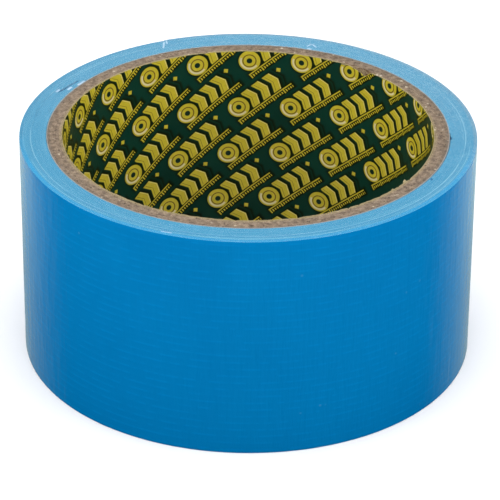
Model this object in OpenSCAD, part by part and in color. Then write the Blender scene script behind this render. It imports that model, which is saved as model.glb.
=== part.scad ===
// Roll of cloth-reinforced adhesive tape on a spiral-wound paperboard core.
// The axis of the roll is +Z. The origin is on that axis, in the plane of the bottom edges.
// The core is a stack of wound paper plies between a printed liner and a pale outer wrap.
// The tape is one strip of three layers, adhesive inside, cloth scrim between and film outside.
// It winds outwards counterclockwise, seen from above.
// The last stretch of the strip is the free end. It is cut into short rigid lengths
// so that it can be peeled off the roll about hinges on its outer surface.

/* [Roll] */
// Width of the tape and height of the core
roll_w = 48; // [24:0.5:100]
// Number of whole turns of tape between the core and the start of the free end
turns = 37; // [3:1:60]

/* [Core] */
// Radius of the bore
bore_r = 38; // [25:0.5:60]
// Thickness of the printed liner
liner_t = 0.12; // [0.08:0.01:0.3]
// Thickness of one board ply
ply_t = 0.58; // [0.3:0.01:0.9]
// Glue line between neighbouring plies
glue_t = 0.01; // [0.005:0.001:0.02]
// Thickness of the pale outer wrap
wrap_t = 0.16; // [0.08:0.01:0.3]
// Angle between a ply's seam and the horizontal
seam_rise = 40; // [25:1:60]
// Width of the butt gap at a ply's seam
seam_gap = 0.3; // [0.2:0.05:0.6]

/* [Tape] */
// Thickness of the outer film
film_t = 0.058; // [0.03:0.002:0.09]
// Thickness of the cloth scrim
scrim_t = 0.026; // [0.02:0.002:0.05]
// Thickness of the adhesive
glue_coat_t = 0.058; // [0.03:0.002:0.09]
// Clearance between one layer and the next
layer_gap = 0.002; // [0.001:0.001:0.004]

/* [Free end] */
// Direction of the cut end of the strip, seen from above
tip_angle = 113; // [110:1:170]
// Sweep of one length of the free end
tail_step = 12.25; // [6:0.25:20]
// Gap between one length of the free end and the next
tail_gap = 0.02; // [0.01:0.01:0.05]

/* [Hidden] */
$fn = 180;

// Core: inner radii from the bore outwards.
ply_count = 5;
ply_pitch = ply_t + glue_t;
first_ply_r = bore_r + liner_t + glue_t;
wrap_r = first_ply_r + ply_count * ply_pitch;
core_r = wrap_r + wrap_t;

// Ply i's seam crosses mid height at seam_base + i * seam_step.
seam_base = 20;
seam_step = 73;

// How far cutters run past the ends of the core, and past the faces of a ply.
end_overcut = 1;
wall_overcut = 0.2;

// One turn of tape adds this much to the radius.
turn_pitch = glue_coat_t + scrim_t + film_t + 3 * layer_gap;
// The spiral is drawn as half turns about two centres on X, each this far from the axis,
// so that every half turn is a true arc and meets the next one squarely.
centre_offset = turn_pitch / 4;
spiral_r = core_r + centre_offset + layer_gap;

// Inner face of each layer, measured outwards from the inner face of the strip.
adhesive_in = 0;
scrim_in = adhesive_in + glue_coat_t + layer_gap;
film_in = scrim_in + scrim_t + layer_gap;

// Free end: it starts at root_angle, where the wound turns stop.
tail_count = 4;
root_angle = tip_angle - tail_count * tail_step;
tail_r = spiral_r + turns * turn_pitch;
gap_angle = arc_degrees(tail_gap, tail_r);

film_colour = [0.01, 0.46, 0.72];
scrim_colour = [0.86, 0.88, 0.86];
glue_colour = [0.66, 0.78, 0.82];
board_colour = [0.55, 0.50, 0.46];
wrap_colour = [0.80, 0.76, 0.70];
liner_colour = [0.06, 0.19, 0.13];

// Angle that an arc of the given length spans at a radius.
function arc_degrees(length, radius) = length / radius * 180 / PI;

// A tube about the axis, as tall as the roll.
module tube(inner_r, wall) {
    difference() {
        cylinder(h = roll_w, r = inner_r + wall);
        translate([0, 0, -end_overcut]) cylinder(h = roll_w + 2 * end_overcut, r = inner_r);
    }
}

// The narrow gap that a wound strip leaves between its own edges: a slot through
// the wall that climbs around it at the winding angle, clockwise seen from above.
module seam_slot(inner_r, wall, mid_angle) {
    slot_h = roll_w + 2 * end_overcut;
    slot_turn = arc_degrees(slot_h / tan(seam_rise), inner_r + wall / 2);
    // Width of the slot measured along the horizontal.
    slot_w = seam_gap / sin(seam_rise);
    rotate([0, 0, mid_angle + slot_turn / 2]) translate([0, 0, -end_overcut])
        linear_extrude(height = slot_h, twist = slot_turn, slices = 32, $fn = 4)
            translate([inner_r - wall_overcut, -slot_w / 2])
                square([wall + 2 * wall_overcut, slot_w]);
}

module printed_liner() {
    color(liner_colour) tube(bore_r, liner_t);
}

// Ply i, counted from 1 at the liner.
module core_ply(i) {
    inner_r = first_ply_r + (i - 1) * ply_pitch;
    color(board_colour) difference() {
        tube(inner_r, ply_t);
        seam_slot(inner_r, ply_t, seam_base + seam_step * i);
    }
}

module core_outer_wrap() {
    color(wrap_colour) tube(wrap_r, wrap_t);
}

// An upright curved strip about [centre_x, 0], between two angles.
module arc_strip(centre_x, inner_r, thick, from, to) {
    translate([centre_x, 0, 0]) rotate([0, 0, from])
        rotate_extrude(angle = to - from) translate([inner_r, 0]) square([thick, roll_w]);
}

// One layer of the wound strip: half turns about the two centres in turn, each starting
// where the last one ended, then the part turn that the free end continues.
module wound_layer(inset, thick) {
    union() {
        for (k = [0 : 2 * turns - 1]) {
            side = k % 2;
            arc_strip(side == 0 ? -centre_offset : centre_offset,
                      spiral_r + k * turn_pitch / 2 + inset, thick,
                      180 * side, 180 * side + 180);
        }
        arc_strip(-centre_offset, tail_r + inset, thick, 0, root_angle);
    }
}

module adhesive_coat() {
    color(glue_colour) wound_layer(adhesive_in, glue_coat_t);
}

module scrim_cloth() {
    color(scrim_colour) wound_layer(scrim_in, scrim_t);
}

module backing_film() {
    color(film_colour) wound_layer(film_in, film_t);
}

// One layer of length i of the free end, counted from 1 at the root.
// The lengths lie against the roll at rest.
module tail_layer(i, inset, thick) {
    start = root_angle + (i - 1) * tail_step;
    arc_strip(-centre_offset, tail_r + inset, thick, start + gap_angle, start + tail_step);
}

module tail_adhesive(i) {
    color(glue_colour) tail_layer(i, adhesive_in, glue_coat_t);
}

module tail_scrim(i) {
    color(scrim_colour) tail_layer(i, scrim_in, scrim_t);
}

module tail_film(i) {
    color(film_colour) tail_layer(i, film_in, film_t);
}

printed_liner();
core_ply(1);  // core_ply_1
core_ply(2);  // core_ply_2
core_ply(3);  // core_ply_3
core_ply(4);  // core_ply_4
core_ply(5);  // core_ply_5
core_outer_wrap();
adhesive_coat();
scrim_cloth();
backing_film();
tail_adhesive(1);  // tail_adhesive_1
tail_adhesive(2);  // tail_adhesive_2
tail_adhesive(3);  // tail_adhesive_3
tail_adhesive(4);  // tail_adhesive_4
tail_scrim(1);  // tail_scrim_1
tail_scrim(2);  // tail_scrim_2
tail_scrim(3);  // tail_scrim_3
tail_scrim(4);  // tail_scrim_4
tail_film(1);  // tail_film_1
tail_film(2);  // tail_film_2
tail_film(3);  // tail_film_3
tail_film(4);  // tail_film_4
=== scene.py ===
"""A roll of blue cloth tape on a paperboard core with a printed liner, and its free end.

The roll lies on a cut side: its axis is +Z and its lower side is at z = 0. Winding angles are in
degrees from +X towards +Y. The free end is the last part of the strip, on the +Y side, cut into
pieces, of which only the last go on a body, tail_4. Meshes are worked out in millimetres and built
in metres. The camera looks from -Y and above.
"""

import math
from functools import cached_property

import bpy
import numpy as np
from mathutils import Matrix, Vector


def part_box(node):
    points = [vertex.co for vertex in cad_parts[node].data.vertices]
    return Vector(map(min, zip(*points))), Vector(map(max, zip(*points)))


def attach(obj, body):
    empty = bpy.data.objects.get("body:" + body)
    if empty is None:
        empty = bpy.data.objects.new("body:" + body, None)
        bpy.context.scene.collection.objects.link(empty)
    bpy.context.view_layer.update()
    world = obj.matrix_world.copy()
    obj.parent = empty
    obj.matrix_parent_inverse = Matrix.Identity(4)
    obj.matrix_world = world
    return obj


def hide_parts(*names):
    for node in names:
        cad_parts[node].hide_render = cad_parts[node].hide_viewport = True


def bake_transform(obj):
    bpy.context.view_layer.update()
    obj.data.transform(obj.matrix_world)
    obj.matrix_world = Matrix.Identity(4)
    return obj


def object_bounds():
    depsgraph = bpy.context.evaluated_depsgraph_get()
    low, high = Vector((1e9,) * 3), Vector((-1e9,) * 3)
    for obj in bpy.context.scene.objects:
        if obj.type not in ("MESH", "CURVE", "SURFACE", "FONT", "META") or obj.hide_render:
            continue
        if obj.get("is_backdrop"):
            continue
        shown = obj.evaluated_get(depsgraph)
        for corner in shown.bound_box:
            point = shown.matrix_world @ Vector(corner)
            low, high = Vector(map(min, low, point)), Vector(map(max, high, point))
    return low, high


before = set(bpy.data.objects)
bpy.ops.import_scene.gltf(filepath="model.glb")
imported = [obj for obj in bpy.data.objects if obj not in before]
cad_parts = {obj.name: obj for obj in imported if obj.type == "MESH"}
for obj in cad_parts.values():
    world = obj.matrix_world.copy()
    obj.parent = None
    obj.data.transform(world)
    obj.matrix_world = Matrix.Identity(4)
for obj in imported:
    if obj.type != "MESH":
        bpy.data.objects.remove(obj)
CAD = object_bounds()

# ---------------------------------------------------------------- sizes, in millimetres
MM = 0.001


def top_of(node):
    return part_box(node)[1] * 1000.0


HEIGHT = top_of("printed_liner").z               # of the core, and width of the tape

# core, from the bore outwards: liner, board plies, wrap
LINER_R = top_of("printed_liner").x
CORE_R = top_of("core_outer_wrap").x
LINER_T = 0.12
WRAP_T = 0.16
BORE_R = LINER_R - LINER_T
PLIES = 5
PLY_GAP = 0.01
PLY_R0 = LINER_R + PLY_GAP
PLY_T = (CORE_R - WRAP_T - PLY_R0) / PLIES - PLY_GAP
PLY_WINDING = math.radians(40)

# the liner is wound on a helix; its seam and its print follow it
LINER_WINDING = math.radians(40.4)
WIND_SIN, WIND_COS = math.sin(LINER_WINDING), math.cos(LINER_WINDING)
BORE_ROUND = 2 * math.pi * BORE_R
SEAM_PITCH = BORE_ROUND * WIND_SIN
SEAM_AT = 18.3                                   # across the helix

# strip: thickness of each layer, and its inner face from the strip's inner face
TURNS = 37
PITCH = 0.148
CENTRE_OFF = PITCH / 4
LAYER_GAP = 0.002
GLUE_T, SCRIM_T, FILM_T = 0.058, 0.026, 0.058
SCRIM_IN = GLUE_T + LAYER_GAP
FILM_IN = SCRIM_IN + SCRIM_T + LAYER_GAP
START_R = CORE_R + CENTRE_OFF + LAYER_GAP        # inner face of the strip where it starts
OUTER_R = 46.85                                  # turns winding angle into length in the outer turn
YARNS = 31
YARN = HEIGHT / YARNS                            # from one lengthwise yarn to the next
WEFT = 2.8                                       # from one crosswise yarn to the next

# free end: hinges in degrees of winding
TIP_AT = 113.0
HINGE_STEP = 12.25
TAIL_SPAN = 4 * HINGE_STEP
PEEL_AT = 360.0 * TURNS + TIP_AT - TAIL_SPAN     # total winding angle where it starts
assert abs(START_R + TURNS * PITCH + FILM_IN + FILM_T - top_of("tail_film_3").y) < 0.05, \
    "the strip doesn't match the frame"

# scuffs on the roll's upper side: angle, radius, angle, radius, width
PALE_MARKS = (
    (112.6, 46.70, 113.1, 45.10, 0.30), (113.6, 46.00, 115.0, 43.60, 0.34),
    (72.8, 42.60, 72.3, 43.60, 0.30), (72.3, 43.75, 71.6, 43.95, 0.40),
    (71.6, 43.95, 70.2, 42.90, 0.34), (72.0, 41.60, 71.4, 41.60, 0.55),
    (156.4, 43.95, 154.9, 43.95, 0.40), (153.7, 42.25, 152.2, 42.25, 0.55),
    (149.6, 41.60, 146.8, 41.60, 0.55), (248.9, 45.64, 251.2, 45.58, 0.34),
)
DARK_MARKS = (
    (155.9, 43.55, 153.6, 43.20, 0.44), (153.6, 43.20, 147.9, 42.72, 0.34),
    (356.6, 41.50, 357.8, 41.28, 0.45), (330.8, 41.90, 331.4, 41.75, 0.30),
)
PALE_DEPTH, DARK_DEPTH = -0.10, -0.25

# turns that slipped at the upper side: turn, spread in turns, rise
SLIPPED = ((21.6, 0.45, 0.05), (31.3, 0.35, 0.03))


# ---------------------------------------------------------------- noise
def lattice(ix, iy, seed):
    """A hash of each lattice point, in [-1, 1]."""
    n = (ix.astype(np.int64) * 374761393 + iy.astype(np.int64) * 668265263
         + seed * 1442695041) & 0xFFFFFFFF
    n = ((n ^ (n >> 13)) * 1274126177) & 0xFFFFFFFF
    n = ((n ^ (n >> 16)) * 2246822519) & 0xFFFFFFFF
    return ((n ^ (n >> 15)) & 0xFFFFFF) / float(0xFFFFFF) * 2 - 1


def noise(x, y, seed, wrap=None):
    """Smooth value noise in [-1, 1], one cell per unit. It repeats in x after wrap cells."""
    x, y = np.broadcast_arrays(np.asarray(x, float), np.asarray(y, float))
    x0, y0 = np.floor(x), np.floor(y)
    fx, fy = x - x0, y - y0
    fx, fy = fx * fx * (3 - 2 * fx), fy * fy * (3 - 2 * fy)
    x1 = x0 + 1
    if wrap:
        x0, x1 = x0 % wrap, x1 % wrap
    near = lattice(x0, y0, seed) * (1 - fx) + lattice(x1, y0, seed) * fx
    far = lattice(x0, y0 + 1, seed) * (1 - fx) + lattice(x1, y0 + 1, seed) * fx
    return near * (1 - fy) + far * fy


def round_noise(deg, cells, y, seed):
    """Noise with a whole number of cells round the axis."""
    return noise(deg / 360 * cells, y, seed, cells)


def ramp(x, start, end):
    t = np.clip((np.asarray(x, float) - start) / (end - start), 0, 1)
    return t * t * (3 - 2 * t)


# ---------------------------------------------------------------- mesh helpers
def add_object(name, data):
    ob = bpy.data.objects.new(name, data)
    bpy.context.scene.collection.objects.link(ob)
    return ob


def mesh_piece(name, rows, faces, materials, sharp, index=None, strip=None):
    """A smooth mesh with edges sharp from an angle in degrees. strip gives each point's UV in mm."""
    mesh = bpy.data.meshes.new(name)
    mesh.from_pydata((rows.reshape(-1, 3) * MM).tolist(), [], faces)
    for material in materials:
        mesh.materials.append(material)
    if index is not None:
        mesh.polygons.foreach_set("material_index", np.asarray(index, np.int32))
    mesh.polygons.foreach_set("use_smooth", np.full(len(mesh.polygons), True))
    mesh.update()
    if strip is not None:
        # place along and across the strip, so that a pattern stays on it when it bends
        layer = mesh.uv_layers.new(name="strip")
        corner = np.zeros(len(mesh.loops), np.int32)
        mesh.loops.foreach_get("vertex_index", corner)
        uv = np.asarray(strip, np.float32).reshape(-1, 2) * MM
        layer.data.foreach_set("uv", uv[corner].ravel())
    mesh.set_sharp_from_angle(angle=math.radians(sharp))
    return add_object(name, mesh)


def sweep(rows, closed):
    """Faces of a skin through rows (N, M, 3), each a closed loop, and the column of each quad.
    The ends are capped unless closed."""
    n, m = rows.shape[:2]
    i = np.arange(n if closed else n - 1)[:, None]
    j = np.arange(m)[None, :]
    here, beside = i * m + j, i * m + (j + 1) % m
    ahead = ((i + 1) % n) * m
    quads = np.stack([here, ahead + j, ahead + (j + 1) % m, beside], -1).reshape(-1, 4)
    columns = np.broadcast_to(j, here.shape).reshape(-1)
    faces = quads.tolist()
    if not closed:
        faces.append(list(range(m)))
        faces.append([(n - 1) * m + k for k in range(m)][::-1])
    return faces, columns


def flipped(faces):
    return [face[::-1] for face in faces]


def polar(r, deg, z, centre_x=0.0):
    a = np.radians(deg)
    return np.stack(np.broadcast_arrays(centre_x + r * np.cos(a), r * np.sin(a), z), -1)


def mark_ends(mark):
    """The two ends of a mark, as x0, y0, x1, y1."""
    deg0, r0, deg1, r1, _ = mark
    a0, a1 = math.radians(deg0), math.radians(deg1)
    return r0 * math.cos(a0), r0 * math.sin(a0), r1 * math.cos(a1), r1 * math.sin(a1)


# ---------------------------------------------------------------- node helpers
def feed(socket, value):
    """Link an output to the socket, or set the socket's own value."""
    if isinstance(value, Num):
        value = value.out
    if isinstance(value, bpy.types.NodeSocket):
        socket.id_data.links.new(value, socket)
    else:
        socket.default_value = value


def node(tree, kind, inputs=(), out=0, **settings):
    """Make a shader node, feed its inputs and return one of its outputs."""
    made = tree.nodes.new("ShaderNode" + kind)
    for key, value in settings.items():
        setattr(made, key, value)
    for key, value in dict(inputs).items():
        feed(made.inputs[key], value)
    return made.outputs[out]


def mix(tree, data_type, factor, first, second):
    mixer = tree.nodes.new("ShaderNodeMix")
    mixer.data_type = data_type
    kind = "VALUE" if data_type == "FLOAT" else data_type
    pair = [s for s in mixer.inputs if s.type == kind][-2:]
    for socket, value in zip((mixer.inputs[0], *pair), (factor, first, second)):
        feed(socket, value)
    return next(s for s in mixer.outputs if s.type == kind)


def split(vector):
    """x, y and z of a vector output."""
    return [Num(part) for part in node(vector.id_data, "SeparateXYZ", {0: vector}).node.outputs]


def math_node(operation):
    def method(self, *others):
        inputs = enumerate((self, *others))
        return Num(node(self.out.id_data, "Math", inputs, operation=operation))
    return method


class Num:
    """A float output that takes part in arithmetic, so that a pattern reads as a formula."""

    def __init__(self, out):
        self.out = out

    __add__ = math_node("ADD")
    __sub__ = math_node("SUBTRACT")
    __mul__ = math_node("MULTIPLY")
    __truediv__ = math_node("DIVIDE")
    abs = math_node("ABSOLUTE")
    floor = math_node("FLOOR")
    mod = math_node("FLOORED_MODULO")
    min = math_node("MINIMUM")
    max = math_node("MAXIMUM")
    sqrt = math_node("SQRT")
    atan2 = math_node("ARCTAN2")

    def __neg__(self):
        return self * -1.0

    def clamp(self):
        inputs = {0: self, 1: 0.0}
        return Num(node(self.out.id_data, "Math", inputs, operation="ADD", use_clamp=True))

    def band(self, centre, half):
        """Signed distance to a band: below 0 inside."""
        return (self - centre).abs() - half

    def step(self, a, b, at_a=0, at_b=1):
        """Smooth step from at_a to at_b between a and b."""
        if a > b:
            a, b, at_a, at_b = b, a, at_b, at_a
        inputs = {"Value": self, "From Min": a, "From Max": b, "To Min": at_a, "To Max": at_b}
        return Num(node(self.out.id_data, "MapRange", inputs, "Result",
                        interpolation_type="SMOOTHSTEP"))


def srgb(*rgb):
    def linear(c):
        c /= 255.0
        return c / 12.92 if c <= 0.04045 else ((c + 0.055) / 1.055) ** 2.4
    return (*map(linear, rgb), 1.0)


class Mat:
    """A Principled material. Its places are in mm."""

    def __init__(self, name):
        self.mat = bpy.data.materials.new(name)
        self.mat.use_nodes = True
        self.tree = self.mat.node_tree
        self.shader = next(n for n in self.tree.nodes if n.type == "BSDF_PRINCIPLED")

    @cached_property
    def place(self):
        at = node(self.tree, "TexCoord", out="Object")
        return node(self.tree, "VectorMath", {0: at, "Scale": 1000.0}, operation="SCALE")

    @cached_property
    def xyz(self):
        return split(self.place)

    def cylinder(self):
        """Cosine and sine of the direction from the axis, radius, height. A pattern in the
        first two has no seam round the roll."""
        x, y, z = self.xyz
        r = (x * x + y * y).sqrt()
        return x / r, y / r, r, z

    def strip(self):
        """Place along the strip, height."""
        along, z, _ = split(node(self.tree, "UVMap", uv_map="strip"))
        return along * 1000.0, z * 1000.0

    def stroke(self, mark, soft=0.6):
        """1 along a mark, seen from above, with an edge that is soft by a share of its width."""
        x, y, _ = self.xyz
        x0, y0, x1, y1 = mark_ends(mark)
        dx, dy = x1 - x0, y1 - y0
        square = dx * dx + dy * dy
        share = ((x - x0) * (dx / square) + (y - y0) * (dy / square)).clamp()
        off_x, off_y = x - x0 - share * dx, y - y0 - share * dy
        half = mark[4] / 2
        away = (off_x * off_x + off_y * off_y).sqrt()
        return away.step(half * (1 + soft), half * (1 - soft))

    def vec(self, *parts):
        return node(self.tree, "CombineXYZ", enumerate(parts))

    def tex(self, vector, scale=1.0, detail=3.0, rough=0.55):
        return Num(node(self.tree, "TexNoise", {
            "Scale": scale, "Detail": detail, "Roughness": rough, "Vector": vector}))

    def cells(self, vector, scale):
        """Distance to the nearest of scattered points."""
        return Num(node(self.tree, "TexVoronoi", {"Scale": scale, "Vector": vector}, "Distance"))

    def mix(self, factor, first, second):
        return mix(self.tree, "RGBA", factor, first, second)

    def coat(self, base, *coats):
        """Lay colours over base, each as (amount, sRGB colour)."""
        for amount, rgb in coats:
            base = self.mix(amount, base, srgb(*rgb))
        return base

    def set(self, name, value):
        feed(self.shader.inputs[name], value)

    def surface(self, colour, roughness, specular=0.5):
        self.set("Base Color", colour)
        self.set("Roughness", roughness)
        self.set("Specular IOR Level", specular)

    def bump(self, height, mm):
        """mm is how far a height of 1 stands out."""
        self.set("Normal", node(self.tree, "Bump", {"Distance": mm * MM, "Height": height}))


# ---------------------------------------------------------------- materials
# In these, tex scales are cells per mm, and steps are thresholds of noise or edges in mm.
def film_face():
    """Blue film over the weave: satin, with the yarns showing through as paler dashes."""
    m = Mat("film_face")
    along, z = m.strip()
    flat = m.vec(along, z)
    row = (z / YARN).floor()
    off_yarn = ((z / YARN).mod(1.0) - 0.5).abs() * YARN
    broken = m.tex(m.vec(along * 0.30, row * 7.31), detail=2, rough=0.6).step(0.38, 0.60)
    dash = off_yarn.step(0.34, 0.06) * broken
    wide = m.tex(m.vec(along * 0.05, z * 0.035, 3.0))
    grain = m.tex(flat, scale=2.2, detail=4, rough=0.6)
    streak = m.tex(m.vec(along * 0.55, z * 0.09, 9.0))
    tone = wide * 0.10 + grain * 0.05 + streak * 0.04 + dash * 0.085 + 0.895
    speck = (m.cells(flat, scale=0.23).step(0.085, 0.045)
             * m.tex(flat, scale=0.11, detail=1).step(0.54, 0.63))
    blue = m.mix(wide, srgb(0, 117, 181), srgb(0, 122, 184))
    blue = node(m.tree, "VectorMath", {0: blue, "Scale": tone}, operation="SCALE")
    m.surface(m.coat(blue, (speck * 0.17, (110, 175, 215))),
              roughness=streak * 0.08 + grain * 0.05 + 0.07)
    m.set("IOR", 1.50)
    m.set("Specular Tint", (0.30, 0.85, 1.0, 1.0))
    fine = m.tex(m.vec(along * 1.3, z * 0.16, 4.0), detail=2, rough=0.5)
    m.bump(dash * 0.08 + streak * 0.8 + fine * 0.20 + grain * 0.05, mm=0.13)
    return m.mat


def cut_edge(name, dark, light, gloss):
    """A layer of the strip at the roll's cut side: tiny scuffs and paler turns."""
    m = Mat(name)
    c, s, r, z = m.cylinder()
    fine = m.tex(m.vec(c * 16.0, s * 16.0, r * 3.4 + z * 0.3), detail=4, rough=0.6)
    turn = m.tex(m.vec(c * 1.6, s * 1.6, r * 2.1), detail=2, rough=0.5).step(0.56, 0.74)
    part = m.tex(m.vec(c * 2.2, s * 2.2, 5.0), detail=2)
    # two pale rings, each round only part of the roll
    ring = (r - 44.5).abs().step(0.17, 0.04) * (part + s * -0.16).step(0.34, 0.54)
    ring2 = (r - 45.5).abs().step(0.12, 0.03) * (-s).step(-0.3, 0.5) * part.step(0.62, 0.45)
    pale = turn * 0.22 + ring * 0.60 + ring2 * 0.60 + fine.step(0.62, 0.80) * 0.12
    grain = m.tex(m.vec(c * 55.0, s * 55.0, r * 2.4), rough=0.65)
    worn = (c * 0.7 + s * 0.7).step(-0.1, 0.7)
    base = m.coat(
        m.mix(fine.step(0.25, 0.75), srgb(*dark), srgb(*light)),
        (pale.clamp(), (140, 190, 210)),
        # painted light: paler and warmer towards +Y; painted shade: greyer at the left and right,
        # towards ±X
        (s.step(-0.2, 0.5) * 0.040, (214, 206, 190)),
        (c * c * 0.13, (86, 128, 160)),
        # outermost turns: painted light makes them brighter blue at the front; painted shade darkens
        # them all round and greys them towards +X and +Y along the outer edge
        (r.step(45.7, 46.1) * (-s).step(0.0, 0.4) * 0.50, (30, 156, 212)),
        (r.step(45.8, 46.2) * 0.17, (40, 110, 150)),
        (r.step(45.9, 46.3) * (s * 0.7 + c * 0.7).step(0.25, 0.75) * 0.21, (165, 166, 158)),
        (grain.step(0.42, 0.68) * worn * 0.14, (186, 206, 212)),
        (grain.step(0.55, 0.30) * worn * 0.12, (40, 112, 156)),
    )
    top = z.step(HEIGHT - 1.0, HEIGHT - 0.5)
    for mark in PALE_MARKS:
        base = m.coat(base, (m.stroke(mark) * top * (fine * 0.8 + 0.25), (196, 214, 232)))
    for mark in DARK_MARKS:
        base = m.coat(base, (m.stroke(mark) * top * 0.95, (14, 60, 100)))
    m.surface(base, roughness=fine * 0.2 + gloss, specular=0.15)
    m.bump(fine, mm=0.012)
    return m.mat


def board():
    """Grey-brown paperboard: matted fibres, dark and pale flecks."""
    m = Mat("core_board")
    c, s, r, z = m.cylinder()
    x, y, _ = m.xyz
    fibre = m.tex(m.vec(c * 60.0, s * 60.0, r * 5.0 + z * 1.4), detail=5, rough=0.65)
    mottle = m.tex(m.place, scale=0.9, detail=4, rough=0.6)
    fine = m.tex(m.place, scale=4, rough=0.7)
    dark = (m.cells(m.place, scale=1.25).step(0.30, 0.14)
            * m.tex(m.place, scale=0.7, detail=2).step(0.48, 0.58))
    pale = (m.cells(m.vec(y, z, x), scale=0.62).step(0.24, 0.12)
            * m.tex(m.place, scale=0.45, detail=2).step(0.50, 0.60))
    # brown fibres where the innermost ply is torn
    strands = m.tex(m.vec(c * 30.0, s * 30.0, z * 7.0 + r * 4.0), rough=0.6)
    torn = m.stroke((57.5, 38.3, 46.5, 38.3, 1.3), soft=0.4) * strands.step(0.47, 0.62)
    base = m.coat(
        m.mix(mottle.step(0.30, 0.70), srgb(105, 91, 79), srgb(153, 135, 116)),
        (r.step(38.9, 38.3) * 0.35, (176, 160, 112)),
        (r.step(40.2, 40.8) * 0.35, (98, 95, 91)),
        (fine.step(0.56, 0.40) * 0.45, (80, 69, 60)),
        (fibre.step(0.54, 0.70) * 0.45, (172, 158, 138)),
        ((c * 0.7 + s * 0.5).step(0.2, 0.7) * 0.13, (80, 66, 54)),
        (dark * 0.75, (54, 46, 40)),
        (pale * 0.62, (212, 204, 184)),
        (torn * 0.9, (84, 54, 34)),
    )
    m.surface(base, roughness=0.95, specular=0.1)
    m.bump(fine * 0.6 + fibre * 0.5, mm=0.14)
    return m.mat


def pale_paper():
    m = Mat("core_wrap_paper")
    c, s, r, z = m.cylinder()
    fibre = m.tex(m.vec(c * 55.0, s * 55.0, r * 3.0 + z * 1.1), detail=4, rough=0.65)
    m.surface(m.mix(fibre, srgb(124, 124, 122), srgb(174, 174, 172)),
              roughness=0.9, specular=0.15)
    m.bump(fibre, mm=0.05)
    return m.mat


def liner_print():
    """Coated paper, dark green with a yellow all-over pattern of a ring, arrowheads, a bar and
    a ruler of ticks, along rows that rise at the winding angle."""
    m = Mat("liner_print")
    x, y, z = m.xyz
    # length round the bore, from +Y towards +X, then axes along and across the printed rows
    span = x.atan2(y) * BORE_R
    along = span * WIND_COS + z * WIND_SIN
    across = z * WIND_COS - span * WIND_SIN
    turn = ((across - SEAM_AT) / SEAM_PITCH + 0.5).floor()
    across = across - turn * SEAM_PITCH
    along = along + turn * (BORE_ROUND * WIND_COS)

    # each motif has its ring at (0, 0) of along, across; one ring stands at this place
    cell, row_height = 17.9, 7.04
    ring_span, ring_z = -2.1, 34.5
    ring_along = ring_span * WIND_COS + ring_z * WIND_SIN
    ring_across = ring_z * WIND_COS - ring_span * WIND_SIN
    before, below = 3.4, 3.85                    # from the cell's corner to its ring
    across = across - (ring_across - below)
    row = (across / row_height).floor()
    across = across - row * row_height - below
    along = (along - (ring_along - before) - row * (cell / 2)).mod(cell) - before
    # one row is left plain: the margin of the printed paper
    along = along + (row + 5.0).abs().step(0.5, 0.0) * 100.0

    # signed distances: below 0 is ink
    arrow_step, bar_at, bar_half = 3.02, 5.3, 7.55

    def chevron(along, across):
        """Place along a row of arrowheads, bent back towards the edges."""
        return along + across.abs() * 0.42 - 3.1

    worn = m.tex(m.place, scale=1.6)
    from_ring = (along * along + across * across).sqrt()
    disc = from_ring - 2.35
    line = from_ring.band(1.42, 0.13)
    hole = from_ring - 0.62
    shine = from_ring.band(1.85, 0.20).max(along + across * 0.4 + 0.2)
    bent = chevron(along, across)
    arrows = (bent.mod(arrow_step).band(1.06, 0.98).max(along.band(7.3, 4.85))
              .max(across.abs() - 2.20).max(-(bent + 0.02)).max(bent - 9.05))
    bar = along.band(bar_at, bar_half).max((across + 2.58).abs() - 0.13)
    tick_from = 2.22
    tick_half = (along + tick_from).mod(3.1).band(0.31, 0.0) if False else (
        (along + tick_from).mod(3.1) - 0.31).abs()
    tick_half = tick_half.step(0.5, 0.3) * 0.20 + 0.24
    ticks = ((along + tick_from).mod(0.62).band(0.17, 0.15)
             .max((across + 3.22).abs() - tick_half).max(along.band(bar_at, bar_half)))
    stud = (along - 12.55).abs() + (across - 1.55).abs() - 0.62
    ink = disc.min(arrows).min(bar).min(ticks).min(stud)

    # a soft dark rim round and below each shape
    rim_along, rim_across = along - 0.16, across + 0.16
    rim_bent = chevron(rim_along, rim_across)
    rim_disc = (rim_along * rim_along + rim_across * rim_across).sqrt() - 2.25
    rim_arrows = (rim_bent.mod(arrow_step).band(1.06, 1.06).max(rim_across.abs() - 2.15)
                  .max(-(rim_bent + 0.02)).max(rim_bent - 9.05))
    rim_bar = rim_along.band(bar_at, bar_half).max((rim_across + 3.0).abs() - 0.62)
    rim = rim_disc.min(rim_arrows).min(rim_bar)

    # each arrowhead has a pale edge and a thin dark groove
    inside = ink.max(disc * -1.0).step(0.02, -0.04)
    pale_edge = (inside * bent.mod(arrow_step).band(1.90, 0.10).step(0.04, -0.04)
                 * (across.abs() - 2.25).step(0.03, -0.03))
    groove = (inside * bent.mod(arrow_step).band(0.62, 0.05).step(0.05, -0.04)
              * (across.abs() - 1.95).step(0.03, -0.03))
    # bare paper where the cut edges have rubbed
    rub = m.tex(m.vec(x * 1.3, y * 1.3, z * 1.5), detail=4, rough=0.7)
    bare = (rub * 0.6 + z - HEIGHT).step(0.10, 0.26) + (rub * 0.6 - z).step(0.10, 0.26)

    green = m.mix(m.tex(m.place, scale=0.09), srgb(0, 42, 34), srgb(4, 64, 50))
    green = m.coat(green, (rim.step(0.95, 0.15) * 0.96, (13, 27, 3)))
    yellow = m.mix(worn, srgb(180, 162, 28), srgb(206, 190, 58))
    colour = m.coat(
        m.mix(ink.step(0.05, -0.05), green, yellow),
        (line.step(0.04, -0.04) * 0.85, (84, 52, 24)),
        (shine.step(0.04, -0.04) * 0.8, (216, 208, 180)),
        (pale_edge * 0.75, (226, 214, 134)),
        (groove * 0.80, (74, 58, 16)),
        (hole.step(0.05, -0.05), (10, 44, 34)),
        (bare.clamp() * 0.85, (176, 164, 124)),
    )
    m.surface(colour, roughness=worn * 0.15 + 0.36, specular=0.32)
    m.bump(m.tex(m.place, scale=1.1, detail=4, rough=0.6), mm=0.03)
    return m.mat


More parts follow.
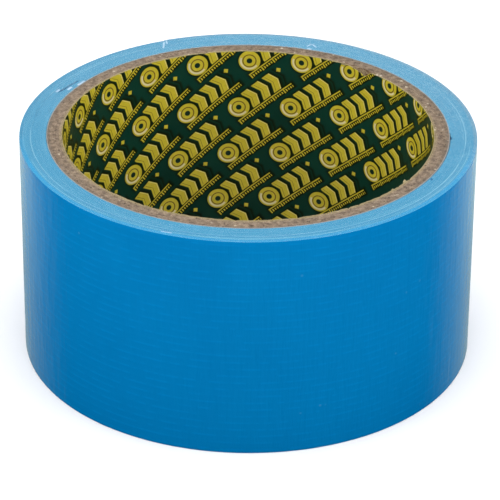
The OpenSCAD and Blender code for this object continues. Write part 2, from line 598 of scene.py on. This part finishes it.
def liner_back():
    m = Mat("liner_paper")
    fibre = m.tex(m.place, scale=3, detail=4, rough=0.65)
    m.surface(m.mix(fibre, srgb(132, 118, 88), srgb(184, 170, 132)), roughness=0.9, specular=0.15)
    m.bump(fibre, mm=0.04)
    return m.mat


def sticky_side():
    """The underside: clear pale adhesive with the cloth's open weave in it."""
    m = Mat("adhesive_side")
    along, z = m.strip()
    flat = m.vec(along, z)
    wander = m.tex(m.vec(along * 0.12, z * 0.12, 6.0), detail=1) * 0.5
    off_warp = (((z + wander) * (YARNS / HEIGHT)).mod(1.0) - 0.5).abs() * YARN
    off_weft = (((along + wander) / WEFT).mod(1.0) - 0.5).abs() * WEFT
    cloth = off_warp.step(0.24, 0.10).max(off_weft.step(0.30, 0.14) * 0.8)
    blot = m.tex(flat, scale=0.8, detail=4, rough=0.6)
    fine = m.tex(flat, scale=4, rough=0.6)
    base = m.mix(blot, srgb(120, 176, 204), srgb(158, 200, 218))
    m.surface(m.coat(base, (cloth * (fine * 0.5 + 0.45), (222, 232, 234))),
              roughness=blot * 0.25 + 0.22)
    m.bump(cloth * 0.8 + blot * 0.6, mm=0.02)
    return m.mat


def cotton():
    m = Mat("scrim_yarn")
    fibre = m.tex(m.place, scale=6, detail=4, rough=0.7)
    m.surface(m.mix(fibre, srgb(196, 210, 214), srgb(240, 243, 242)), roughness=0.9)
    m.set("Sheen Weight", 0.2)
    m.bump(fibre, mm=0.02)
    return m.mat


FILM = film_face()
FILM_CUT = cut_edge("film_cut", dark=(44, 121, 161), light=(50, 131, 170), gloss=0.5)
SCRIM_CUT = cut_edge("scrim_cut", dark=(81, 148, 176), light=(99, 160, 185), gloss=0.7)
GLUE_CUT = cut_edge("adhesive_cut", dark=(63, 137, 170), light=(76, 148, 179), gloss=0.45)
BOARD = board()
WRAP = pale_paper()
PRINT = liner_print()
PAPER = liner_back()
STICKY = sticky_side()
COTTON = cotton()


# ---------------------------------------------------------------- the wound strip
def spiral(theta, inner):
    """Centre's x and radius at a total winding angle: half turns about two centres. The cut
    end has sprung up a little."""
    half_turn = np.floor(np.asarray(theta, float) / 180.0 + 1e-9)
    past = (theta - (PEEL_AT + 3.35 * HINGE_STEP)) / (0.65 * HINGE_STEP)
    sprung = 0.12 * np.clip(past, 0, 1) ** 2
    centre_x = np.where(half_turn % 2 == 0, -CENTRE_OFF, CENTRE_OFF)
    return centre_x, START_R + half_turn * PITCH / 2 + inner + sprung


def edge_rise(theta, side):
    """How far a turn's edge stands out of (+) or back from (-) the roll's side: 0 is the upper
    side, 1 the lower. Neighbouring turns differ a little, and a few slipped."""
    turn = theta / 360.0
    deg = theta % 360.0
    slow = noise(turn + 40 * side, 0.5, seed=11)
    per_turn = noise(deg / 60.0, turn * 2.3, seed=12 + side, wrap=6)
    fine = noise(theta / 5.2, turn * 3.0, seed=15 + side)
    rise = 0.018 * slow + 0.010 * per_turn + 0.004 * fine
    if side:
        return rise + 0.05 * noise(turn * 1.7, 3.3, seed=21)
    r = START_R + turn * PITCH
    x, y = r * np.cos(np.radians(deg)), r * np.sin(np.radians(deg))
    for marks, depth in ((PALE_MARKS, PALE_DEPTH), (DARK_MARKS, DARK_DEPTH)):
        for mark in marks:
            x0, y0, x1, y1 = mark_ends(mark)
            dx, dy = x1 - x0, y1 - y0
            share = np.clip(((x - x0) * dx + (y - y0) * dy) / (dx ** 2 + dy ** 2), 0, 1)
            away = np.hypot(x - x0 - share * dx, y - y0 - share * dy)
            rise = rise + depth * np.exp(-((away / (0.7 * mark[4])) ** 2))
    return rise + sum(up * np.exp(-(((turn - at) / spread) ** 2)) for at, spread, up in SLIPPED)


def cut_heights(theta, lift):
    """Heights of the strip's upper and lower edge."""
    up, low = (edge_rise(theta, side) + lift(theta, side) for side in (0, 1))
    return HEIGHT - 0.02 + up, 0.05 - np.minimum(low, 0.045)


def angles(start, end, per_turn):
    """Even steps round the strip, with closer ones at the scuffs."""
    steps = max(int(round((end - start) / 360.0 * per_turn)), 2)
    theta = [np.linspace(start, end, steps + 1)]
    near = np.concatenate([
        np.arange(min(a, b) - 1, max(a, b) + 1.01, 0.4)
        for a, _, b, _, _ in PALE_MARKS + DARK_MARKS])
    for turn in range(int(start // 360), int(end // 360) + 1):
        extra = near + 360.0 * turn
        theta.append(extra[(extra > start) & (extra < end)])
    theta = np.unique(np.round(np.concatenate(theta), 3))
    theta = theta[np.concatenate([[True], np.diff(theta) > 0.12])]
    theta[0], theta[-1] = start, end
    return theta


def fuzz(seed, size):
    """Raggedness of a layer's cut edges."""
    return lambda theta, side: (size * noise(theta / 6.5, 0.5, seed + side)
                                + size * 0.5 * noise(theta / 2.1, 9.5, seed + 5 + side))


# inner face, thickness, materials (outer face, cut edges, inner face), edge fuzz, CAD node
LAYERS = {
    "adhesive": (0.0, GLUE_T, (STICKY, GLUE_CUT, STICKY), fuzz(51, 0.005), "adhesive_coat"),
    "scrim": (SCRIM_IN, SCRIM_T, (COTTON, SCRIM_CUT, COTTON), fuzz(41, 0.008), "scrim_cloth"),
    "film": (FILM_IN, FILM_T, (FILM, FILM_CUT, STICKY), fuzz(31, 0.004), "backing_film"),
}


def strip_solid(name, theta, rows, materials, cut_columns, inner_column):
    """A closed solid through sections of the strip."""
    faces, columns = sweep(rows, False)
    slots = np.where(np.isin(columns, cut_columns), 1, np.where(columns == inner_column, 2, 0))
    along = (theta - PEEL_AT) * math.pi / 180 * OUTER_R
    along = np.broadcast_to(along[:, None], rows.shape[:2])
    return mesh_piece(name, rows, faces, materials, sharp=40, index=[*slots, 1, 1],
                      strip=np.stack([along, rows[..., 2]], -1))


def strip_layer(name, kind, start, end, per_turn):
    """A layer with six points round its section, and slightly domed cut edges."""
    inner, thick, materials, lift, _ = LAYERS[kind]
    dome = 0.006
    theta = angles(start, end, per_turn)
    centre_x, r = spiral(theta - 1e-7, inner)
    top, low = cut_heights(theta, lift)
    section = (
        (r, low), (r + thick / 2, low - dome), (r + thick, low),
        (r + thick, top), (r + thick / 2, top + dome), (r, top),
    )
    rows = np.stack([polar(at, theta, z, centre_x) for at, z in section], 1)
    return strip_solid(name, theta, rows, materials, cut_columns=(0, 1, 3, 4), inner_column=5)


def relief(theta, z):
    """How far the film stands out over the weave at a winding angle and a height."""
    along = np.radians(theta) * OUTER_R
    row = np.floor(z / YARN)
    off_warp = (z / YARN - row - 0.5) * YARN
    broken = 0.35 + 0.65 * ramp(noise(along / 3.1, row * 5.17, seed=61), -0.35, 0.25)
    warp = np.exp(-((off_warp / 0.19) ** 2)) * broken
    wander = along + 0.45 * noise(z / 9.0, along / 30.0, seed=62)
    column = np.floor(wander / WEFT)
    off_weft = (wander / WEFT - column - 0.5) * WEFT
    weft = (np.exp(-((off_weft / 0.55) ** 2))
            * (0.5 + 0.5 * noise(column * 3.7, z / 11.0, seed=63)))
    streak = (noise(along / 1.7, z / 9.0, seed=64)
              + 0.6 * noise(along / 3.9, z / 16.0, seed=66))
    slow = noise(along / 6.5, z / 22.0, seed=65)
    edge = ramp(z, 0.0, 0.6) * ramp(HEIGHT - z, 0.0, 0.6)
    return (0.014 * warp + 0.010 * weft + 0.012 * streak + 0.012 * slow) * edge


def film_sheet(name, start, end, steps):
    """Film with the weave's relief in its outer face."""
    theta = np.linspace(start, end, steps + 1)
    centre_x, r = spiral(theta - 1e-7, FILM_IN)
    top, low = cut_heights(theta, fuzz(31, 0.005))
    # five levels at each yarn, in shares of the yarn pitch from its middle
    at_yarn = np.array([-0.50, -0.22, -0.07, 0.07, 0.22])
    yarn_levels = [(j + 0.5 + at_yarn) * YARN for j in range(YARNS)]
    level = np.concatenate([[0.0, 0.12, HEIGHT - 0.12, HEIGHT], *yarn_levels])
    level = np.unique(np.round(level, 4))
    level = level[np.concatenate([[True], np.diff(level) > 0.02])]
    share = level / HEIGHT
    z = low[:, None] * (1 - share) + top[:, None] * share
    wide_theta = np.broadcast_to(theta[:, None], z.shape)
    # under the free end the film lies a little lower, so that the strip lies flat on it
    under = 1 - ramp(theta - (PEEL_AT - 360.0), TAIL_SPAN + 1.0, TAIL_SPAN + 4.0)
    bow = FILM_T + relief(wide_theta, z) * (1 - 0.5 * under[:, None]) - 0.02 * under[:, None]
    edges = np.minimum(ramp(level, 0, 0.10), ramp(HEIGHT - level, 0, 0.10))
    bow = bow - 0.018 * (1 - edges)
    outer = polar(r[:, None] + bow, wide_theta, z, centre_x[:, None])
    inner = np.stack([polar(r, theta, edge, centre_x) for edge in (top, low)], 1)
    rows = np.concatenate([outer, inner], 1)     # up the outer face, then down the inner one
    m = rows.shape[1]
    return strip_solid(name, theta, rows, (FILM, FILM_CUT, STICKY),
                       cut_columns=(m - 3, m - 1), inner_column=m - 2)


def put(ob, body, replaced):
    """Hide the part the piece replaces and hang it on its body; a bend tuple is not used, the piece
    keeps its place.
    """
    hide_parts(replaced)
    if isinstance(body, tuple):
        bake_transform(ob)
    else:
        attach(ob, body)


for kind, layer in LAYERS.items():
    last = PEEL_AT - 360.0 if kind == "film" else PEEL_AT
    put(strip_layer(f"{kind}_turns", kind, 0.0, last, per_turn=192), "roll", layer[-1])
put(film_sheet("film_outer_turn", PEEL_AT - 360.0, PEEL_AT, steps=560),
    "roll", "backing_film")


# ---------------------------------------------------------------- the free end
def bend_range(k, before, after):
    """Points before and after hinge k, along the strip's direction there, in metres."""
    deg = PEEL_AT + k * HINGE_STEP
    centre_x, r = spiral(np.array([deg - 1e-7]), FILM_IN + FILM_T)
    at = Vector(polar(r, np.array([deg]), 0.5 * HEIGHT, centre_x)[0])
    run = Vector((-math.sin(math.radians(deg)), math.cos(math.radians(deg)), 0.0))
    return (at - run * before) * MM, (at + run * after) * MM


# The strip is cut half way between hinges. The middle bends reach past their own pieces by just
# as much as lets neighbouring pieces meet with one direction.
# The bend at the peel line is tight.
CUTS = [PEEL_AT, *(PEEL_AT + (k + 0.5) * HINGE_STEP for k in range(4)), PEEL_AT + TAIL_SPAN]
BODIES = ["roll", "tail_1", "tail_2", "tail_3", "tail_4"]
REACH = ((2.0, 2.0), (5.0, 9.64), (13.66, 13.66), (9.64, 5.0))     # before, after each hinge
for k in range(5):
    start, end = CUTS[k], CUTS[k + 1]
    body = (BODIES[k], BODIES[k + 1], *bend_range(k, *REACH[k])) if k < 4 else "tail_4"
    for kind in LAYERS:
        name = f"free_end_{kind}_{k + 1}"
        if kind == "film":
            ob = film_sheet(name, start, end, steps=14 if k in (0, 4) else 26)
        else:
            ob = strip_layer(name, kind, start, end, per_turn=1200)
        put(ob, body, f"tail_{kind}_{min(k + 1, 4)}")


# ---------------------------------------------------------------- the core
CORE_DEG = np.linspace(0, 360, 1180, endpoint=False)


def torn(deg, start, full):
    """1 where the core's inner edge is torn, fading out towards 58 degrees."""
    return ramp(deg, start, full) * (1 - ramp(deg, 49.5, 58.0) ** 0.7)


def core_ring(name, radii, heights, material, sharp):
    """A closed ring through circles given by radius and height."""
    rows = np.stack([polar(r, CORE_DEG, z) for r, z in zip(radii, heights)], 1)[:, ::-1]
    return mesh_piece(name, rows, sweep(rows, True)[0], (material,), sharp)


def ply(i):
    """One board ply: walls, and end faces of matted fibre with a slit where the wound strip's
    own edges meet."""
    deg = CORE_DEG
    inner = PLY_R0 + i * (PLY_T + PLY_GAP)
    outer = inner + PLY_T
    mid = (inner + outer) / 2
    seam_mid = 20 + 73 * (i + 1)                 # angle of the seam at half height
    seam_half = (HEIGHT / 2) / math.tan(PLY_WINDING) / mid * 180 / math.pi

    def slit(at):
        away = np.abs((deg - at + 180) % 360 - 180) * mid * math.pi / 180
        return 1 - ramp(away, 0.10, 0.34)

    radial = np.linspace(inner, outer, 5)
    top, low = [], []
    for q, r in enumerate(radial):
        rough = (0.050 * round_noise(deg, 1180, r * 5, seed=71 + i)
                 + 0.055 * round_noise(deg, 420, r * 2.6, seed=72 + i))
        rim = 0.5 if q in (0, 4) else 0.0
        rough = rough + 0.030 * round_noise(deg, 60, r * 0.8, seed=73) - 0.05 * rim
        top.append(HEIGHT - 0.05 + rough - 0.30 * slit(seam_mid - seam_half))
        low.append(0.06 - rough * 0.4 + 0.25 * slit(seam_mid + seam_half))
    if i == 0:
        radial[0] += 0.08                        # room for the liner's rounded edge
    wobble = 0.020 * round_noise(deg[None], 900, radial[:, None] * 4, seed=75 + i)
    radii = radial[:, None] + wobble * np.array([0, 1, 1, 1, 0])[:, None]
    if i == 0:
        # the innermost ply's edge is broken away a little
        tear = torn(deg, 46.4, 49.2)
        bite = tear * (0.70 + 0.20 * noise(deg / 0.7, 0.5, seed=79))
        for q, share in enumerate((1.0, 0.75, 0.40, 0.15)):
            ragged = 0.08 * tear * noise(deg / 1.3, q * 3.3, seed=78)
            top[q] = top[q] - bite * share - ragged
    return core_ring(f"board_ply_{i + 1}", [*radii, *radii[::-1]], top + low[::-1], BOARD, 70)


def wrap():
    """The pale paper round the plies, with a ragged upper edge."""
    inner = CORE_R - WRAP_T
    tall = (0.05 + 0.055 * round_noise(CORE_DEG, 500, 0.5, seed=81)
            + 0.045 * round_noise(CORE_DEG, 1100, 4.5, seed=82))
    tall = tall + 0.10 * ramp(round_noise(CORE_DEG, 160, 7.5, seed=83), 0.55, 0.9)
    side, crest, foot = HEIGHT - 0.06 + tall * 0.7, HEIGHT - 0.03 + tall, 0.06
    radii = (inner, inner, (inner + CORE_R) / 2, CORE_R, CORE_R)
    return core_ring("core_wrap", radii, (foot, side, crest, side, foot), WRAP, 50)


def liner():
    """The printed sheet in the bore: a finely divided inner face and a plain back."""
    deg = np.linspace(0, 360, 960, endpoint=False)
    from_top = np.array([2.4, 1.8, 1.3, 0.9, 0.6, 0.35, 0.15, 0])
    level = np.concatenate([[0, 0.12, 0.3, 0.6, 1.0], np.linspace(2.0, HEIGHT - 3.2, 40),
                            HEIGHT - from_top])
    # at the tear the paper is gone down to a ragged line
    ragged = torn(deg, 46.2, 49.3) * (1.20 + 0.12 * noise(deg / 1.7, 0.5, seed=91)
                                      + 0.14 * noise(deg / 0.5, 2.5, seed=92))
    nicks = (0.26 * ramp(round_noise(deg, 300, 0.5, seed=93), 0.35, 0.9)
             + 0.06 * round_noise(deg, 480, 1.5, seed=94))
    top = HEIGHT + 0.03 - ragged - nicks
    low = 0.04 + 0.12 * ramp(round_noise(deg, 260, 5.5, seed=95), 0.4, 0.9)
    # the cut rounded the edge outwards; here and there a fibre stands in
    curl = (-0.06 + 0.05 * ramp(round_noise(deg, 90, 0.5, seed=96), 0.2, 0.9)
            + 0.14 * ramp(round_noise(deg, 330, 2.5, seed=97), 0.45, 0.95))
    wide_deg, wide_level = np.meshgrid(deg, level, indexing="ij")
    z = low[:, None] + (top - low)[:, None] * wide_level / HEIGHT
    # the sheet's edges lap along a helix
    span = np.radians((90.0 - wide_deg + 180) % 360 - 180) * BORE_R
    across = z * WIND_COS - span * WIND_SIN
    side = (across - SEAM_AT) % SEAM_PITCH - SEAM_PITCH / 2
    lap = 0.10 * ramp(side, -0.25, 0.0) * (1 - ramp(side, 2.6, 3.4))
    wave = (0.022 * round_noise(wide_deg, 40, z / 9.0, seed=98)
            + 0.010 * round_noise(wide_deg, 160, z / 3.0, seed=99))
    lift = (curl[:, None] * ramp(top[:, None] - z, 1.1, 0.0) ** 1.5
            + 0.4 * curl[:, None] * ramp(z, 0.8, 0.0) ** 1.5)
    face = polar(BORE_R + 0.02 - np.abs(wave) - lap - lift, wide_deg, z)
    # down the back: the upper edge, two levels of plain wall, the lower edge
    back_r = LINER_R - 0.005
    back = np.stack([
        polar(back_r - (curl - 0.01), deg, top - 0.01),
        polar(back_r, deg, top - 1.2),
        polar(back_r, deg, low + 0.9),
        polar(back_r - 0.4 * curl, deg, low + 0.01),
    ], 1)
    rows = np.concatenate([face, back], 1)
    faces, columns = sweep(rows, True)
    index = np.where(columns < len(level) - 1, 0, 1)
    return mesh_piece("liner_sheet", rows, flipped(faces), (PRINT, PAPER), 50, index)


def scrap(name, deg, wide, high, lean, seed):
    """A scrap of the liner's paper that stands up from its cut edge, as a thin closed sheet."""
    across = np.linspace(-1, 1, 9)
    u, v = np.meshgrid(across, np.linspace(0, 1, 5), indexing="ij")
    crown = (1 - np.abs(across) ** 1.6) * (0.75 + 0.35 * noise(across * 2.2, 0.5, seed))
    z = HEIGHT - 0.30 + v * (0.30 + high * np.clip(crown, 0.03, None)[:, None])
    r = BORE_R + 0.02 - lean * v ** 1.5 + 0.05 * noise(u * 1.5, v * 2, seed + 1)
    sway = 0.12 * v * noise(u * 2, v * 2, seed + 2)
    at = deg + np.degrees((u * wide / 2 + sway) / BORE_R)
    rows = np.concatenate([polar(r, at, z), polar(r + 0.05, at, z)[:, ::-1]], 1)
    return mesh_piece(name, rows, flipped(sweep(rows, False)[0]), (PAPER,), sharp=50)


for i in range(PLIES):
    put(ply(i), "roll", f"core_ply_{i + 1}")
put(wrap(), "roll", "core_outer_wrap")
put(liner(), "roll", "printed_liner")
# angle, width, height, lean towards the axis
SCRAPS = ((325.4, 1.1, 0.55, 0.30), (319.0, 0.7, 0.25, 0.18), (57.6, 1.1, 0.20, 0.12))
for i, sizes in enumerate(SCRAPS):
    put(scrap(f"liner_scrap_{i + 1}", *sizes, seed=101 + 7 * i),
        "roll", "printed_liner")

# ---------------------------------------------------------------- stage, in metres
scene = bpy.context.scene
scene.view_settings.view_transform = "Standard"
scene.view_settings.look = "None"
GLOW = (0.88, 1.10, 1.02, 1)
SWEEP_R, SWEEP_HEIGHT = 1.2, 0.9


def backdrop(x, y):
    """Brightness of the white surroundings in a direction: dark towards -Y, white at +Y."""
    return y.step(0.18, 0.98) * (x * 0.07 + 0.76)


def stage_mesh(name, verts, faces, material):
    mesh = bpy.data.meshes.new(name)
    mesh.from_pydata(verts, [], faces)
    mesh.materials.append(material)
    ob = add_object(name, mesh)
    ob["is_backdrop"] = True
    return ob


def floor_material():
    """White to the camera; it throws back less light near the roll, as in a contact shadow."""
    m = Mat("floor_pale")
    tree = m.tree
    at = node(tree, "TexCoord", out="Object")
    away = Num(node(tree, "VectorMath", {0: at}, "Value", operation="LENGTH"))
    ray = tree.nodes.new("ShaderNodeLightPath").outputs
    # thrown back outside the roll, and within the bore
    bounce = away.step(0.045, 0.20, 0.25, 0.72) + away.step(0.036, 0.046, 0.60, 0.0)
    m.surface(mix(tree, "FLOAT", ray["Is Camera Ray"], bounce, 0.93), roughness=0.9, specular=0.0)
    # in a mirror it is like the sweep, and darker where it is near
    x, y, _ = split(node(tree, "NewGeometry", out="Incoming"))
    level = (x * x + y * y).sqrt().max(1e-4)
    bright = backdrop(-x / level, -y / level) * (away.step(0.045, 0.12) * 0.45 + 0.55)
    glow = node(tree, "Emission", {"Color": GLOW, "Strength": bright})
    shader = node(tree, "MixShader", {0: ray["Is Glossy Ray"], 1: m.shader.outputs[0], 2: glow})
    output = next(n for n in tree.nodes if n.type == "OUTPUT_MATERIAL")
    feed(output.inputs["Surface"], shader)
    return m.mat


def sweep_material():
    material = bpy.data.materials.new("sweep_glow")
    material.use_nodes = True
    tree = material.node_tree
    tree.nodes.clear()
    output = tree.nodes.new("ShaderNodeOutputMaterial")
    x, y, _ = split(node(tree, "TexCoord", out="Object"))
    bright = backdrop(x * (1 / SWEEP_R), y * (1 / SWEEP_R))
    glow = node(tree, "Emission", {"Color": GLOW, "Strength": bright})
    feed(output.inputs["Surface"], glow)
    return material


def add_sweep():
    """A white wall round the +Y side, which the film mirrors at its left and right edges."""
    verts = [(SWEEP_R * math.cos(a), SWEEP_R * math.sin(a), z)
             for a in np.radians(np.linspace(10, 170, 81)) for z in (0.0, SWEEP_HEIGHT)]
    faces = [(2 * q - 2, 2 * q, 2 * q + 1, 2 * q - 1) for q in range(1, 81)]
    wall = stage_mesh("sweep_wall", verts, faces, sweep_material())
    wall.visible_camera = False
    wall.visible_diffuse = False
    wall.visible_shadow = False
    wall.visible_transmission = False


def softbox(name, place, size, power):
    light = bpy.data.lights.new(name, "AREA")
    light.shape = "RECTANGLE"
    light.size, light.size_y = size
    light.energy = power
    ob = add_object(name, light)
    ob.location = place
    aim = Vector((0, 0, 0.02)) - Vector(place)
    ob.rotation_euler = aim.to_track_quat("-Z", "Y").to_euler()
    ob.visible_glossy = False


def add_camera():
    camera = bpy.data.cameras.new("camera")
    ob = add_object("camera", camera)
    camera.sensor_width = 36.0
    camera.lens = 218.13555
    camera.clip_start, camera.clip_end = 0.02, 20.0
    forward = Vector((0.00093013, 0.87243712, -0.48872549))
    right = Vector((0.99996568, 0.00321184, 0.00763666))
    place = (0.0, -0.5531035892, 0.32995495533)
    columns = (right, right.cross(forward), -forward, place)
    ob.matrix_world = Matrix((*zip(*columns), (0, 0, 0, 1)))
    scene.camera = ob


FLOOR = [(-3, -3), (3, -3), (3, 3), (-3, 3)]
stage_mesh("floor", [(x, y, -0.00005) for x, y in FLOOR], [(0, 1, 2, 3)], floor_material())
add_sweep()

world = scene.world or bpy.data.worlds.new("world")
scene.world = world
world.use_nodes = True
background = next(n for n in world.node_tree.nodes if n.type == "BACKGROUND")
background.inputs["Color"].default_value = (1, 1, 1, 1)
background.inputs["Strength"].default_value = 0.75
world.cycles_visibility.glossy = False

softbox("top_softbox", (0.0, -0.05, 0.9), size=(0.9, 0.9), power=6.0)
softbox("front_softbox", (0.0, -1.1, 0.75), size=(1.2, 0.6), power=3.0)
softbox("left_softbox", (-1.1, -0.35, 0.6), size=(0.8, 0.6), power=4.0)
softbox("right_softbox", (1.1, -0.35, 0.6), size=(0.8, 0.6), power=4.0)
add_camera()

sizes = {"cad": CAD, "visual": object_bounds()}
